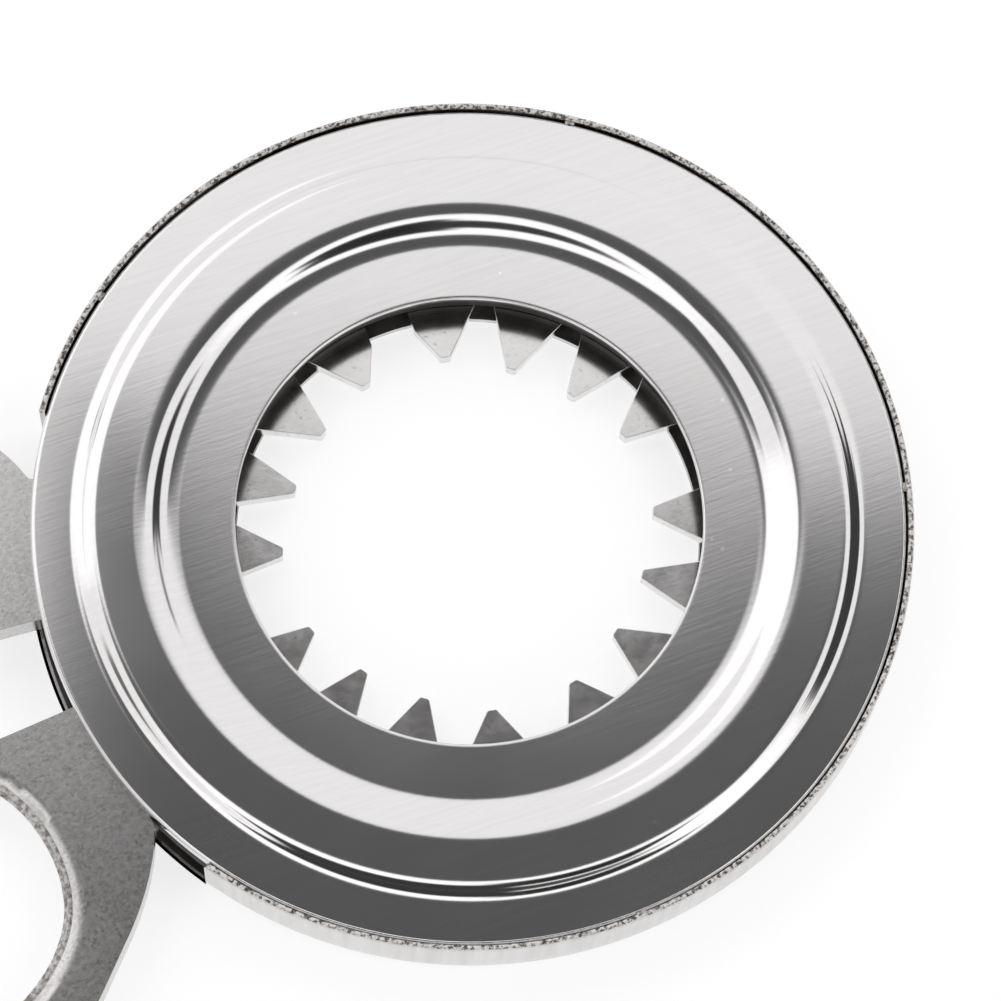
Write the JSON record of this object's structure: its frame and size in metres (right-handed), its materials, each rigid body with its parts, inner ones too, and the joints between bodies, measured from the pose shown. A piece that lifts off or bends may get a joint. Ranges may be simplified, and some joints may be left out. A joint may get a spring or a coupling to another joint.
{
  "type": "case back opener",
  "caption": "Hand-squeezed round wrench: two finger-loop handles draw toothed jaws in towards a round opening, to grip and turn a snap or screw watch back.",
  "frame": {"origin": "on the axis of the round opening, in the plane of the pan's flat underside, on which the tool rests", "axes": "+Z along the opening's axis towards the pressed cover; -X along the tool's middle line towards the handles; +Y towards the upper handle"},
  "size_m": [0.1163, 0.076, 0.0069],
  "materials": {
    "pan_steel": "drawn stainless sheet, bright rolled surface with a rough sheared rim",
    "cover_steel": "stainless sheet brushed in one direction on its flats, polished where it is pressed",
    "handle_steel": "satin, finely grained casting",
    "jaw_steel": "tumbled grey sheet with bright cut edges",
    "pin_steel": "plain turned steel",
    "tack_steel": "dull weld bead"
  },
  "bodies": {
    "housing": {"bottom_pan": "pan_steel", "top_cover": "cover_steel", "cover_tack_1": "tack_steel", "cover_tack_2": "tack_steel", "cover_tack_3": "tack_steel", "cover_tack_4": "tack_steel", "guide_stud_1": "pin_steel", "guide_stud_2": "pin_steel", "guide_stud_3": "pin_steel", "guide_stud_4": "pin_steel", "guide_stud_5": "pin_steel", "guide_stud_6": "pin_steel", "guide_stud_7": "pin_steel", "guide_stud_8": "pin_steel"},
    "upper_handle": {"handle_upper": "handle_steel"},
    "lower_handle": {"handle_lower": "handle_steel"},
    "jaw_slider_1": {"jaw_1": "jaw_steel", "drive_pin_1": "pin_steel"},
    "jaw_slider_2": {"jaw_2": "jaw_steel", "drive_pin_2": "pin_steel"},
    "jaw_slider_3": {"jaw_3": "jaw_steel", "drive_pin_3": "pin_steel"},
    "jaw_slider_4": {"jaw_4": "jaw_steel", "drive_pin_4": "pin_steel"}
  },
  "joints": [
    {"name": "handle_upper_squeeze", "type": "hinge", "parent": "housing", "child": "upper_handle", "pos_m": [0, 0, 0.0042], "axis": [0, 0, 1], "range_deg": [-7.66, 4.33]},
    {"name": "handle_lower_squeeze", "type": "hinge", "parent": "housing", "child": "lower_handle", "pos_m": [0, 0, 0.00275], "axis": [0, 0, 1], "range_deg": [-4.33, 7.66]},
    {"name": "jaw_1_slide", "type": "slide", "parent": "housing", "child": "jaw_slider_1", "axis": [-0.7071, -0.7071, 0], "range_m": [-0.0046, 0.0026]},
    {"name": "jaw_2_slide", "type": "slide", "parent": "housing", "child": "jaw_slider_2", "axis": [0.7071, -0.7071, 0], "range_m": [-0.0046, 0.0026]},
    {"name": "jaw_3_slide", "type": "slide", "parent": "housing", "child": "jaw_slider_3", "axis": [0.7071, 0.7071, 0], "range_m": [-0.0046, 0.0026]},
    {"name": "jaw_4_slide", "type": "slide", "parent": "housing", "child": "jaw_slider_4", "axis": [-0.7071, 0.7071, 0], "range_m": [-0.0046, 0.0026]}
  ],
  "couplings": [
    {"joint": "handle_lower_squeeze", "follows": "handle_upper_squeeze", "ratio": -1},
    {"joint": "jaw_1_slide", "follows": "handle_upper_squeeze", "m_per_rad": 0.034377},
    {"joint": "jaw_2_slide", "follows": "handle_upper_squeeze", "m_per_rad": 0.034377},
    {"joint": "jaw_3_slide", "follows": "handle_upper_squeeze", "m_per_rad": 0.034377},
    {"joint": "jaw_4_slide", "follows": "handle_upper_squeeze", "m_per_rad": 0.034377}
  ]
}
